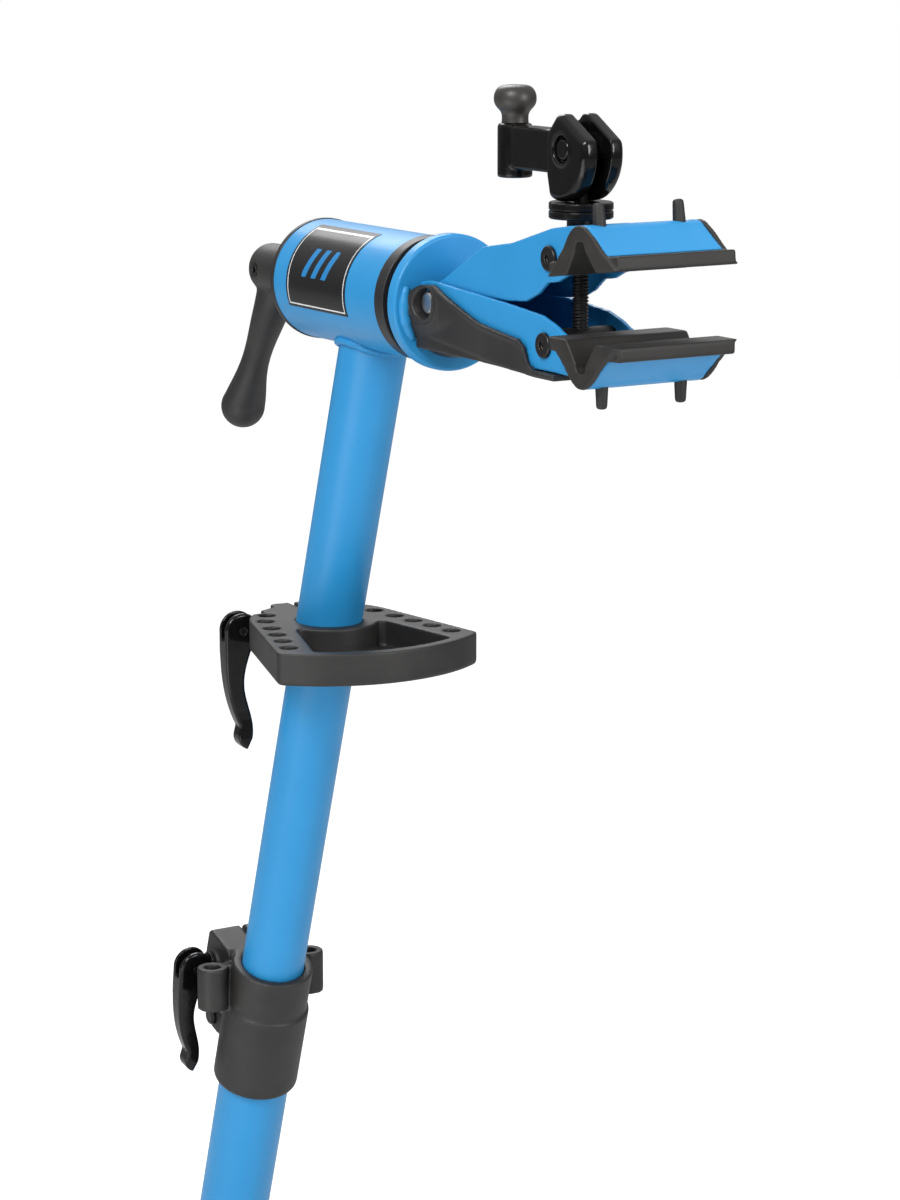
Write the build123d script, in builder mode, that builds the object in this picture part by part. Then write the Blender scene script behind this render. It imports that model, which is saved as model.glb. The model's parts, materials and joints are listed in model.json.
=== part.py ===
from build123d import *

import os
from math import cos, radians, sin, sqrt, tan

# A bicycle repair stand: a leaning telescopic mast on three feet, with a tool tray, and a clamp
# that turns about a level axis at the top.
#
# Frame: millimetres, +Z up, +X from the mast towards the jaws, +Y to the stand's left.
# The origin is on the floor, at the middle of the rear foot's sole, where the mast's axis ends.

# ---------------------------------------------------------------- driving dimensions

HEAD_HEIGHT = 1300.0            # clamp axis above the floor
MAST_LEAN = 18.0                # degrees from upright, towards the jaws
UPPER_TUBE_R = 22.225
LOWER_TUBE_R = 25.4
TUBE_WALL = 2.5
HEAD_R = 39.2
RUN_GAP = 0.05                  # radial clearance of every turning or sliding fit

HEAD_REAR = -75.5               # ends of the head tube, along X from the mast's axis
HEAD_FRONT = 57.3
DISK_BACK = 79.0
DISK_FACE = 88.0
DISK_R = 42.6
SPINDLE_R = 12.5

PIVOT_X = 103.0                 # jaw pivot, forward of and above the head centre
PIVOT_Z = 3.0
ROD_X = 230.5                   # clamping rod, forward of the head centre
UPPER_BARREL_Z = 41.0
LOWER_BARREL_Z = -9.0
CAM_PIN_Z = 103.0
JAW_X = 294.0                   # middle of the jaws
UPPER_ARM_Y = 21.0              # outer faces of the two arms' side plates
LOWER_ARM_Y = 24.4
PLATE = 3.0

TRAY_TOP = -230.6               # top of the tool tray, below the head centre
TRAY_HEIGHT = 22.0
TRAY_R = 107.0
TRAY_YAW = -4.5                 # degrees, the tray is turned a little off the clamp's plane

COLLAR_TOP = 524.0              # along the mast, down from the head centre
COLLAR_STEP = 558.0
COLLAR_BOTTOM = 624.4

HUB_UP = 300.0                  # leg hub, along the mast up from the floor
LEG_LENGTH = 740.0
LEG_R = 14.0
LEG_AZIMUTH = 27.0              # degrees between each leg's plane and straight ahead
LEG_PIVOT_R = 52.0

# ---------------------------------------------------------------- derived places

LEAN = radians(MAST_LEAN)
HEAD_X = HEAD_HEIGHT * tan(LEAN)
MAST_LENGTH = HEAD_HEIGHT / cos(LEAN)
HEAD = Vector(HEAD_X, 0, HEAD_HEIGHT)
MAST_UP = Vector(sin(LEAN), 0, cos(LEAN))
MAST_FORWARD = Vector(cos(LEAN), 0, -sin(LEAN))
SIDEWAYS = Vector(0, 1, 0)


def mast_plane(down):
    """Square across the mast, `down` from the head centre: x forward, z up along the mast."""
    return Plane(origin=HEAD - MAST_UP * down, x_dir=MAST_FORWARD, z_dir=MAST_UP)


def head_plane(forward):
    """Square across the head's level axis, `forward` of its centre: x is +Y, y is up."""
    return Plane(origin=HEAD + Vector(forward, 0, 0), x_dir=(0, 1, 0), z_dir=(1, 0, 0))


def side_plane(sideways=0.0):
    """The clamp's side view, seen from -Y: x forward and y up, both from the head centre."""
    return Plane(origin=HEAD + Vector(0, sideways, 0), x_dir=(1, 0, 0), z_dir=(0, -1, 0))


def level_plane(up, forward=0.0):
    """A level plane `up` from the head centre: x forward, y is +Y."""
    return Plane(origin=HEAD + Vector(forward, 0, up))


def tilted_plane(forward, up, tilt):
    """A clamp side view centred on (forward, up) and tipped nose-up by `tilt` degrees."""
    along = Vector(cos(radians(tilt)), 0, sin(radians(tilt)))
    return Plane(origin=HEAD + Vector(forward, 0, up), x_dir=along, z_dir=(0, -1, 0))


os.makedirs("parts", exist_ok=True)


def save(builder, name):
    """Label a finished piece and write its STEP file."""
    builder.part.label = name
    export_step(builder.part, f"parts/{name}.step")


# ---------------------------------------------------------------- mast and head

LOWER_TUBE_TOP = COLLAR_STEP
LOWER_TUBE_BOTTOM = MAST_LENGTH - 26
UPPER_TUBE_BOTTOM = 860.0
GLIDE_LENGTH = 40.0
HEAD_WALL = 3.0

with BuildPart() as lower_mast:
    with BuildSketch(mast_plane(LOWER_TUBE_BOTTOM)):
        Circle(LOWER_TUBE_R)
        Circle(LOWER_TUBE_R - TUBE_WALL, mode=Mode.SUBTRACT)
    extrude(amount=LOWER_TUBE_BOTTOM - LOWER_TUBE_TOP)
save(lower_mast, "lower_mast")

with BuildPart() as rear_foot:
    with BuildSketch(mast_plane(MAST_LENGTH + 20)):
        Circle(LOWER_TUBE_R + 5)
    extrude(amount=98)
    fillet(rear_foot.edges().group_by(Axis.Z)[-1], 3)
    with BuildSketch(mast_plane(LOWER_TUBE_BOTTOM)):
        Circle(LOWER_TUBE_R)
    extrude(amount=98, mode=Mode.SUBTRACT)
    split(bisect_by=Plane.XY, keep=Keep.TOP)
save(rear_foot, "rear_foot")

with BuildPart() as upper_mast:
    with BuildSketch(mast_plane(UPPER_TUBE_BOTTOM)):
        Circle(UPPER_TUBE_R)
        Circle(UPPER_TUBE_R - TUBE_WALL, mode=Mode.SUBTRACT)
    extrude(amount=UPPER_TUBE_BOTTOM)
    with BuildSketch(head_plane(HEAD_REAR)):
        Circle(HEAD_R)
    extrude(amount=HEAD_FRONT - HEAD_REAR, mode=Mode.SUBTRACT)
save(upper_mast, "upper_mast")

with BuildPart() as mast_glide:
    with BuildSketch(mast_plane(UPPER_TUBE_BOTTOM - GLIDE_LENGTH)):
        Circle(LOWER_TUBE_R - TUBE_WALL - RUN_GAP)
        Circle(UPPER_TUBE_R, mode=Mode.SUBTRACT)
    extrude(amount=-GLIDE_LENGTH)
    with BuildSketch(mast_plane(UPPER_TUBE_BOTTOM)):
        Circle(LOWER_TUBE_R - TUBE_WALL - RUN_GAP)
        Circle(UPPER_TUBE_R - 2 * TUBE_WALL, mode=Mode.SUBTRACT)
    extrude(amount=-4)
save(mast_glide, "mast_glide")

with BuildPart() as head_tube:
    with BuildSketch(head_plane(HEAD_REAR)):
        Circle(HEAD_R)
        Circle(HEAD_R - HEAD_WALL, mode=Mode.SUBTRACT)
    extrude(amount=HEAD_FRONT - HEAD_REAR)
save(head_tube, "head_tube")

LABEL_THICK = 0.3
LABEL_LENGTH = 78.0
LABEL_REAR = -58.0

with BuildPart() as head_label:
    with BuildSketch(head_plane(LABEL_REAR)):
        Circle(HEAD_R + LABEL_THICK)
        Circle(HEAD_R, mode=Mode.SUBTRACT)
        with BuildLine():
            Polyline((0, 0), (-19.5, 60), (-60, 60), (-60, -22), close=True)
        make_face(mode=Mode.INTERSECT)
    extrude(amount=LABEL_LENGTH)
save(head_label, "head_label")

# Two plastic bearings close the head tube and carry the clamp's spindle.
BEARING_SPIGOT = 24.0
RING_THICK = 10.7
REAR_CAP = 4.0


def head_bearing(face, flange_r, flange, into):
    """A flanged bush: flange from `face` outwards by `flange`, spigot `into` the tube."""
    with BuildPart() as bearing:
        with BuildSketch(head_plane(face)):
            Circle(flange_r)
        extrude(amount=flange)
        fillet(bearing.edges().filter_by(GeomType.CIRCLE), 0.8)
        with BuildSketch(head_plane(face)):
            Circle(HEAD_R - HEAD_WALL)
        extrude(amount=into)
        with BuildSketch(head_plane(face + flange)):
            Circle(SPINDLE_R + RUN_GAP)
        extrude(amount=into - flange, mode=Mode.SUBTRACT)
    return bearing


front_bearing = head_bearing(HEAD_FRONT, HEAD_R + 0.4, RING_THICK, -BEARING_SPIGOT)
save(front_bearing, "front_bearing")
rear_bearing = head_bearing(HEAD_REAR, HEAD_R + 0.6, -REAR_CAP, BEARING_SPIGOT)
save(rear_bearing, "rear_bearing")

# ---------------------------------------------------------------- rotating clamp mount

SPINDLE_REAR = -150.0
THREAD_R = 9.0
REAR_WASHER_R = 20.0
WASHER_THICK = 3.0
THRUST_GAP = 0.1

with BuildPart() as clamp_disk:
    with BuildSketch(head_plane(DISK_BACK)):
        Circle(DISK_R)
    extrude(amount=DISK_FACE - DISK_BACK)
    fillet(clamp_disk.edges().group_by(Axis.X)[-1], 2)
    fillet(clamp_disk.edges().group_by(Axis.X)[0], 1)
save(clamp_disk, "clamp_disk")

with BuildPart() as thrust_ring:
    with BuildSketch(head_plane(HEAD_FRONT + RING_THICK + THRUST_GAP)):
        Circle(HEAD_R - 4)
        Circle(SPINDLE_R, mode=Mode.SUBTRACT)
    extrude(amount=DISK_BACK - HEAD_FRONT - RING_THICK - THRUST_GAP)
save(thrust_ring, "thrust_ring")

THREAD_START = HEAD_REAR - REAR_CAP - THRUST_GAP

with BuildPart() as spindle:
    with BuildSketch(head_plane(THREAD_START)):
        Circle(SPINDLE_R)
    extrude(amount=DISK_BACK - THREAD_START)
    with BuildSketch(head_plane(SPINDLE_REAR)):
        Circle(THREAD_R)
    extrude(amount=THREAD_START - SPINDLE_REAR)
save(spindle, "spindle")

with BuildPart() as rear_washer:
    with BuildSketch(head_plane(THREAD_START)):
        Circle(REAR_WASHER_R)
        Circle(THREAD_R, mode=Mode.SUBTRACT)
    extrude(amount=-WASHER_THICK)
save(rear_washer, "rear_washer")

# ---------------------------------------------------------------- tension handle

HUB_FRONT = THREAD_START - WASHER_THICK - THRUST_GAP
HUB_REAR = -157.0
HANDLE_HUB_R = 17.0
NUT_LENGTH = 30.0
NUT_R = THREAD_R + 5
SET_SCREW_X = -147.0
SET_SCREW_R = 4.0
SET_SCREW_DEEP = 8.0
HANDLE_SECTIONS = (             # forward, up, half-width along X, half-width along Y
    (-146.0, -8.0, 14.0, 12.0),
    (-154.0, -30.0, 14.5, 12.2),
    (-168.5, -52.0, 12.2, 10.0),
    (-178.5, -67.0, 11.8, 9.6),
    (-188.0, -82.0, 13.6, 12.0),
    (-197.5, -100.5, 15.4, 15.4),
)
HANDLE_BULB = (-197.5, -100.5, 15.4)

with BuildPart() as tension_handle:
    with BuildSketch(head_plane(HUB_REAR)):
        Circle(HANDLE_HUB_R)
    extrude(amount=HUB_FRONT - HUB_REAR)
    fillet(tension_handle.edges().group_by(Axis.X)[0], 4)
    for forward, up, half_x, half_y in HANDLE_SECTIONS:
        with BuildSketch(level_plane(up, forward)):
            Ellipse(half_x, half_y)
    loft()
    bulb_x, bulb_z, bulb_r = HANDLE_BULB
    with Locations(HEAD + Vector(bulb_x, 0, bulb_z)):
        Sphere(bulb_r)
    with BuildSketch(head_plane(HUB_FRONT)):
        Circle(THREAD_R + RUN_GAP)
    extrude(amount=HUB_REAR + 5 - HUB_FRONT, mode=Mode.SUBTRACT)
    with BuildSketch(head_plane(HUB_FRONT)):
        RegularPolygon(NUT_R, 6)
    extrude(amount=-NUT_LENGTH, mode=Mode.SUBTRACT)
    with BuildSketch(side_plane(-HANDLE_HUB_R - 1)):
        with Locations((SET_SCREW_X, 0)):
            Circle(SET_SCREW_R)
    extrude(amount=-SET_SCREW_DEEP, mode=Mode.SUBTRACT)
save(tension_handle, "tension_handle")

with BuildPart() as handle_nut:
    with BuildSketch(head_plane(HUB_FRONT)):
        RegularPolygon(NUT_R, 6)
        Circle(THREAD_R + RUN_GAP, mode=Mode.SUBTRACT)
    extrude(amount=-NUT_LENGTH)
save(handle_nut, "handle_nut")

with BuildPart() as handle_set_screw:
    with BuildSketch(side_plane(-HANDLE_HUB_R + 0.5)):
        with Locations((SET_SCREW_X, 0)):
            Circle(SET_SCREW_R)
            RegularPolygon(2.3, 6, mode=Mode.SUBTRACT)
    extrude(amount=1.5 - SET_SCREW_DEEP)
save(handle_set_screw, "handle_set_screw")

# ---------------------------------------------------------------- jaw pads

PAD_HALF = 34.5                 # half the pad's width, across the tube it holds
PAD_TALL = 24.0
LIP_TALL = 8.4
LIP_WIDE = 15.0
LIP_RECESS = 2.0                # the lips stop short of the end flanges' outer faces
SHELL_THICK = 3.0
SHELL_HALF_LENGTH = 38.8
PAD_FLANGE = 3.0
CROWN = 4.0                     # height of the rounded crown on the V
GROOVE_HALF = 15.0
GROOVE_DEEP = 18.0
PEG_Y = 27.0
PEG_R = 3.8
PEG_ROOT = 4.0
PEG_PROUD = 12.0
PEG_TIP_R = 3.2
SEAT_DEPTH = 20.0               # how far the arm is cleared below the pad's lips
UPPER_JAW = (JAW_X, 38.8, 7.5)  # forward, up, tilt: the middle of the pad's gripping face
LOWER_JAW = (JAW_X, 0.9, 0.5)


def jaw_plane(jaw, facing, sideways=0.0):
    """The jaw's side view, with y pointing away from the tube: facing is 1 up or -1 down."""
    base = tilted_plane(*jaw)
    return Plane(origin=base.origin + SIDEWAYS * sideways, x_dir=base.x_dir * facing, z_dir=base.z_dir)


def ridge_outline(half, tall, crown):
    """A V ridge from the side: straight slopes up to a rounded crown."""
    with BuildSketch() as ridge:
        with BuildLine():
            left = Line((-half, 0), (-crown, tall - CROWN))
            top = ThreePointArc(left @ 1, (0, tall), (crown, tall - CROWN))
            Polyline(top @ 1, (half, 0), (-half, 0))
        make_face()
    return ridge.sketch


def groove_outline():
    """The V groove that grips the tube: wide at the mouth, round at the root."""
    root = 5
    with BuildSketch() as groove:
        with BuildLine():
            left = Polyline((-GROOVE_HALF, -1), (-GROOVE_HALF, 0), (-root, GROOVE_DEEP - root))
            arc = ThreePointArc(left @ 1, (0, GROOVE_DEEP), (root, GROOVE_DEEP - root))
            Polyline(arc @ 1, (GROOVE_HALF, 0), (GROOVE_HALF, -1), (-GROOVE_HALF, -1))
        make_face()
    return groove.sketch


BLOCK = ridge_outline(PAD_HALF - 3.5, PAD_TALL, 6.5)
SHELL = ridge_outline(PAD_HALF + 0.5, PAD_TALL + SHELL_THICK, 8)
GROOVE = groove_outline()


def peg_plane(jaw, facing, sideways, along=0.0):
    """Across a fixing peg, `along` it from its root in the pad, looking away from the tube."""
    view = jaw_plane(jaw, facing, sideways)
    root = view.origin + view.y_dir * (PAD_TALL - PEG_ROOT + along)
    return Plane(origin=root, x_dir=view.x_dir, z_dir=view.y_dir)


def make_pad(jaw, facing):
    """A rubber jaw pad: V block, two end flanges, gripping lips, groove and two fixing pegs."""
    view = jaw_plane(jaw, facing)
    with BuildPart() as pad:
        with BuildSketch(view):
            add(BLOCK)
        extrude(amount=SHELL_HALF_LENGTH, both=True)
        for side in (-1, 1):
            with BuildSketch(jaw_plane(jaw, facing, side * (SHELL_HALF_LENGTH + PAD_FLANGE / 2))):
                add(SHELL)
            extrude(amount=PAD_FLANGE / 2, both=True)
            with BuildSketch(view):
                with Locations((side * (PAD_HALF + 1 - LIP_WIDE / 2), LIP_TALL / 2)):
                    RectangleRounded(LIP_WIDE, LIP_TALL, 1.2)
            extrude(amount=SHELL_HALF_LENGTH + PAD_FLANGE - LIP_RECESS, both=True)
        with BuildSketch(view):
            add(GROOVE)
        extrude(amount=SHELL_HALF_LENGTH + 10, both=True, mode=Mode.SUBTRACT)
        for side in (-1, 1):
            with BuildSketch(peg_plane(jaw, facing, side * PEG_Y)) as peg:
                Circle(PEG_R)
            extrude(peg.sketch, amount=PEG_ROOT + SHELL_THICK)
            with Locations(peg_plane(jaw, facing, side * PEG_Y, PEG_ROOT + SHELL_THICK)):
                Cone(PEG_R, PEG_TIP_R, PEG_PROUD, align=(Align.CENTER, Align.CENTER, Align.MIN))
        chamfer(pad.edges().group_by(Axis(HEAD, view.y_dir))[-1], 1)
    return pad


upper_pad = make_pad(UPPER_JAW, 1)
save(upper_pad, "upper_pad")
lower_pad = make_pad(LOWER_JAW, -1)
save(lower_pad, "lower_pad")

# ---------------------------------------------------------------- clamp arms

PIVOT_R = 5.0
EAR_R = 12.0                    # the upper arm's ears, round the jaw pivot
TRUNNION_R = 4.0
BARREL_R = 9.0
ROD_R = 5.0
SLOT_HALF_X = 11.0
SLOT_HALF_Y = 9.2
NOSE_X = 270.0                  # where the arms end, inside the jaws
UPPER_TOP = ((PIVOT_X, 15), (112, 19), (155, 41.5), (188, 46.5), (231, 58.5), (250, 61.3), (NOSE_X, 61.3))
UPPER_BOTTOM = (
    (268, 38), (247, 32), (238, 28), (227, 26.5), (217, 19), (204, 13.5), (182, 11.5), (PIVOT_X, 11.5)
)
LOWER_TOP = (
    (DISK_FACE, 14.5), (100, 16.5), (187, 11.2), (226, 8), (240, 4), (256, -3), (NOSE_X, -10)
)
LOWER_BOTTOM = ((NOSE_X, -24), (222, -24), (206, -23), (129, -21), (DISK_FACE, -21))
LOWER_WEB_TOP = -18.0


def make_cut(sketch, depth):
    """Cut a sketch out of the part being built, `depth` to both sides of its plane."""
    extrude(sketch, amount=depth, both=True, mode=Mode.SUBTRACT)


def cross_hole(forward, up, radius):
    """A hole straight across the clamp."""
    with BuildSketch(side_plane()) as hole:
        with Locations((forward, up)):
            Circle(radius)
    make_cut(hole.sketch, 60)


def rod_slot(low, high):
    """A slot for the tilting rod, through whatever lies between two heights."""
    with BuildSketch(level_plane((low + high) / 2, ROD_X)) as slot:
        SlotOverall(2 * SLOT_HALF_X, 2 * SLOT_HALF_Y)
    make_cut(slot.sketch, (high - low) / 2)


def cut_pad_seat(jaw, facing):
    """Clear the pad's block, lips and pegs out of the arm."""
    with BuildSketch(jaw_plane(jaw, facing)) as seat:
        add(BLOCK)
        with Locations((0, LIP_TALL - SEAT_DEPTH)):
            Rectangle(2 * PAD_HALF + 6, 2 * SEAT_DEPTH)
    make_cut(seat.sketch, SHELL_HALF_LENGTH + 10)
    for side in (-1, 1):
        with BuildSketch(peg_plane(jaw, facing, side * PEG_Y)) as peg:
            Circle(PEG_R)
        extrude(peg.sketch, amount=PEG_PROUD, mode=Mode.SUBTRACT)


with BuildPart() as upper_arm:
    with BuildSketch(side_plane()) as upper_view:
        Polygon(*UPPER_TOP, *UPPER_BOTTOM, align=None)
        fillet(upper_view.vertices(), 1.5)
        with Locations((PIVOT_X, PIVOT_Z)):
            Circle(EAR_R)
    extrude(amount=UPPER_ARM_Y, both=True)
    with BuildSketch(jaw_plane(UPPER_JAW, 1)):
        add(SHELL)
    extrude(amount=SHELL_HALF_LENGTH, both=True)
    with BuildSketch(side_plane()):
        web_underside = [(forward, up - PLATE) for forward, up in UPPER_TOP[2:-1]]
        Polygon((80, -30), (80, 12), (112, 12), *web_underside, (250, -30), align=None)
    extrude(amount=UPPER_ARM_Y - PLATE, both=True, mode=Mode.SUBTRACT)
    cut_pad_seat(UPPER_JAW, 1)
    cross_hole(PIVOT_X, PIVOT_Z, PIVOT_R + RUN_GAP)
    cross_hole(ROD_X, UPPER_BARREL_Z, TRUNNION_R)
    rod_slot(50, 70)
save(upper_arm, "upper_arm")

with BuildPart() as lower_arm:
    with BuildSketch(side_plane()):
        Polygon(*LOWER_TOP, *LOWER_BOTTOM, align=None)
    extrude(amount=LOWER_ARM_Y, both=True)
    with BuildSketch(jaw_plane(LOWER_JAW, -1)):
        add(SHELL)
    extrude(amount=SHELL_HALF_LENGTH, both=True)
    with BuildSketch(side_plane()):
        web_top = [(forward, up + PLATE) for forward, up in reversed(LOWER_BOTTOM[1:])]
        Polygon((80, 60), (80, LOWER_WEB_TOP), *web_top, (255, -21), (255, 60), align=None)
    extrude(amount=LOWER_ARM_Y - PLATE, both=True, mode=Mode.SUBTRACT)
    cut_pad_seat(LOWER_JAW, -1)
    cross_hole(PIVOT_X, PIVOT_Z, PIVOT_R)
    cross_hole(ROD_X, LOWER_BARREL_Z, TRUNNION_R)
    rod_slot(-40, LOWER_WEB_TOP)
save(lower_arm, "lower_arm")

# ---------------------------------------------------------------- arm guard

GUARD_Y = 27.6
GUARD_REAR = DISK_FACE + 0.5
GUARD_FRONT = 245.0
GUARD_TOP = (
    (GUARD_REAR, 9), (96, 13.5), (109, 14.5), (123, 9), (141, 3), (161, -3),
    (186, -6), (205, -8), (212, -12), (215, -20), (222, -24.5), (GUARD_FRONT, -24.5),
)
GUARD_BOTTOM = ((GUARD_FRONT, -28.5), (222, -28.5), (206, -27.5), (150, -26), (GUARD_REAR, -26))
BOWL_R = 34.0
BOWL_DEEP = -40.0
BOWL_END = 158.0
GUARD_HOLE_R = 9.0

with BuildPart() as arm_guard:
    with BuildSketch(head_plane(GUARD_REAR)):
        Circle(BOWL_R)
    with BuildSketch(head_plane(BOWL_END)):
        Circle(LOWER_ARM_Y + 0.5)
    loft()
    with BuildSketch(side_plane()):
        Polygon(*GUARD_TOP, (GUARD_FRONT, BOWL_DEEP), (GUARD_REAR, BOWL_DEEP), align=None)
    extrude(amount=BOWL_R, both=True, mode=Mode.INTERSECT)
    with BuildSketch(side_plane()):
        Polygon(*GUARD_TOP, *GUARD_BOTTOM, align=None)
    extrude(amount=GUARD_Y, both=True)
    with BuildSketch(side_plane()):
        Polygon((80, 60), (80, -21), *reversed(LOWER_BOTTOM[1:]), (250, -24), (250, 60), align=None)
    extrude(amount=LOWER_ARM_Y, both=True, mode=Mode.SUBTRACT)
    cross_hole(PIVOT_X, PIVOT_Z, GUARD_HOLE_R)
    rod_slot(-40, LOWER_WEB_TOP)
save(arm_guard, "arm_guard")

# ---------------------------------------------------------------- jaw pivot


def cross_cylinder(forward, up, radius, start, end):
    """A cylinder straight across the clamp, from Y=start to Y=end."""
    with BuildSketch(side_plane(end)) as disc:
        with Locations((forward, up)):
            Circle(radius)
    extrude(disc.sketch, amount=end - start)


BOLT_HEAD_R = 7.5
BOLT_HEAD_TALL = 4.0
NUT_TALL = 6.0

with BuildPart() as pivot_bolt:
    cross_cylinder(PIVOT_X, PIVOT_Z, PIVOT_R, -LOWER_ARM_Y, LOWER_ARM_Y + NUT_TALL + 2)
    cross_cylinder(PIVOT_X, PIVOT_Z, BOLT_HEAD_R, -LOWER_ARM_Y - BOLT_HEAD_TALL, -LOWER_ARM_Y)
    fillet(pivot_bolt.edges().group_by(Axis.Y)[0], 2.5)
save(pivot_bolt, "jaw_pivot_bolt")

with BuildPart() as pivot_nut:
    with BuildSketch(side_plane(LOWER_ARM_Y + NUT_TALL)):
        with Locations((PIVOT_X, PIVOT_Z)):
            RegularPolygon(BOLT_HEAD_R, 6)
            Circle(PIVOT_R, mode=Mode.SUBTRACT)
    extrude(amount=NUT_TALL)
save(pivot_nut, "jaw_pivot_nut")

# ---------------------------------------------------------------- clamping rod and its barrels

SCREW_HEAD_R = 7.5
SCREW_HEAD_TALL = 2.4
ROD_BOTTOM = -24.0
SLEEVE_BOTTOM = 51.3
SLEEVE_R = 8.3
WASHER_BOTTOM = 63.2
WASHER_TALL = 4.8
WASHER_R = 18.8
WASHER_TOP = WASHER_BOTTOM + 2 * WASHER_TALL
EYE_R = 9.0
EYE_HALF = 4.0
CAM_PIN_R = 4.0
LOOSE_BORE_GAP = 1.1            # the upper barrel's bore lets the rod tilt


def make_barrel(up, half, bore):
    """A cross barrel that the rod passes through."""
    with BuildPart() as barrel:
        cross_cylinder(ROD_X, up, BARREL_R, -half, half)
        with BuildSketch(level_plane(up, ROD_X)):
            Circle(bore)
        extrude(amount=BARREL_R + 1, both=True, mode=Mode.SUBTRACT)
    return barrel


def make_barrel_screws(up, barrel_half, arm_half):
    """Two shouldered screws that carry a barrel in its arm's side plates."""
    under_head = arm_half + 0.1
    face = under_head + SCREW_HEAD_TALL
    with BuildPart() as screws:
        for side in (-1, 1):
            shank = sorted((side * barrel_half, side * under_head))
            cross_cylinder(ROD_X, up, TRUNNION_R - RUN_GAP, *shank)
            head = sorted((side * under_head, side * face))
            cross_cylinder(ROD_X, up, SCREW_HEAD_R, *head)
        rims = screws.edges().group_by(Axis.Y)
        fillet(rims[0] + rims[-1], 1.4)
        for side in (-1, 1):
            with BuildSketch(side_plane(side * face)):
                with Locations((ROD_X, up)):
                    RegularPolygon(2.8, 6)
            extrude(amount=side * 1.8, mode=Mode.SUBTRACT)
    return screws


upper_half = UPPER_ARM_Y - PLATE - 0.2
lower_half = LOWER_ARM_Y - PLATE - 0.2
upper_barrel = make_barrel(UPPER_BARREL_Z, upper_half, ROD_R + LOOSE_BORE_GAP)
save(upper_barrel, "upper_barrel")
lower_barrel = make_barrel(LOWER_BARREL_Z, lower_half, ROD_R + RUN_GAP)
save(lower_barrel, "lower_barrel")
upper_screws = make_barrel_screws(UPPER_BARREL_Z, upper_half, UPPER_ARM_Y)
save(upper_screws, "upper_barrel_screws")
lower_screws = make_barrel_screws(LOWER_BARREL_Z, lower_half, LOWER_ARM_Y)
save(lower_screws, "lower_barrel_screws")


def make_ring(bottom, top, radius):
    """A round part that surrounds the rod, which turns in it."""
    with BuildPart() as ring:
        with BuildSketch(level_plane(bottom, ROD_X)):
            Circle(radius)
        extrude(amount=top - bottom)
        chamfer(ring.edges().filter_by(GeomType.CIRCLE), 0.7)
        with BuildSketch(level_plane(bottom, ROD_X)):
            Circle(ROD_R + RUN_GAP)
        extrude(amount=top - bottom, mode=Mode.SUBTRACT)
    return ring


thrust_sleeve = make_ring(SLEEVE_BOTTOM, WASHER_BOTTOM, SLEEVE_R)
save(thrust_sleeve, "thrust_sleeve")
lower_washer = make_ring(WASHER_BOTTOM, WASHER_BOTTOM + WASHER_TALL, WASHER_R)
save(lower_washer, "lower_washer")
upper_washer = make_ring(WASHER_BOTTOM + WASHER_TALL, WASHER_TOP, WASHER_R)
save(upper_washer, "upper_washer")

with BuildPart() as threaded_rod:
    with BuildSketch(level_plane(ROD_BOTTOM, ROD_X)):
        Circle(ROD_R)
    extrude(amount=WASHER_TOP - ROD_BOTTOM - 0.5)
    chamfer(threaded_rod.edges().group_by(Axis.Z)[0], 1)
    with BuildSketch(level_plane(WASHER_TOP - 1, ROD_X)):
        Circle(EYE_HALF)
    extrude(amount=CAM_PIN_Z - WASHER_TOP)
    cross_cylinder(ROD_X, CAM_PIN_Z, EYE_R, -EYE_HALF, EYE_HALF)
    cross_hole(ROD_X, CAM_PIN_Z, CAM_PIN_R)
save(threaded_rod, "threaded_rod")

# ---------------------------------------------------------------- cam lever, crank and knob

EAR_GAP_HALF = 4.5
EAR_OUT = 14.2
CAM_ARC_R = 27.7
CAM_ARC_X = -3.5                # the arc's centre is behind the pin
CAM_LOW = WASHER_TOP - CAM_PIN_Z + RUN_GAP      # the cam's lowest point, from its pin
CRANK_REACH = 72.0
CRANK_HALF = 8.0
CRANK_TALL = 25.0
CRANK_END_R = 10.5
CRANK_END_BOTTOM = -25.5
KNOB_BOTTOM = 11.3
PIN_RECESS_R = 7.85
PIN_RECESS = 2.5
PIN_HEAD_R = 6.2


def cam_plane(sideways=0.0):
    """The cam's side view, from the centre of its pin."""
    return Plane(origin=HEAD + Vector(ROD_X, sideways, CAM_PIN_Z), x_dir=(1, 0, 0), z_dir=(0, -1, 0))


def crank_plane(up):
    """A level plane on the knob's axis, `up` from the cam's pin."""
    return level_plane(CAM_PIN_Z + up, ROD_X - CRANK_REACH)


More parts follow.
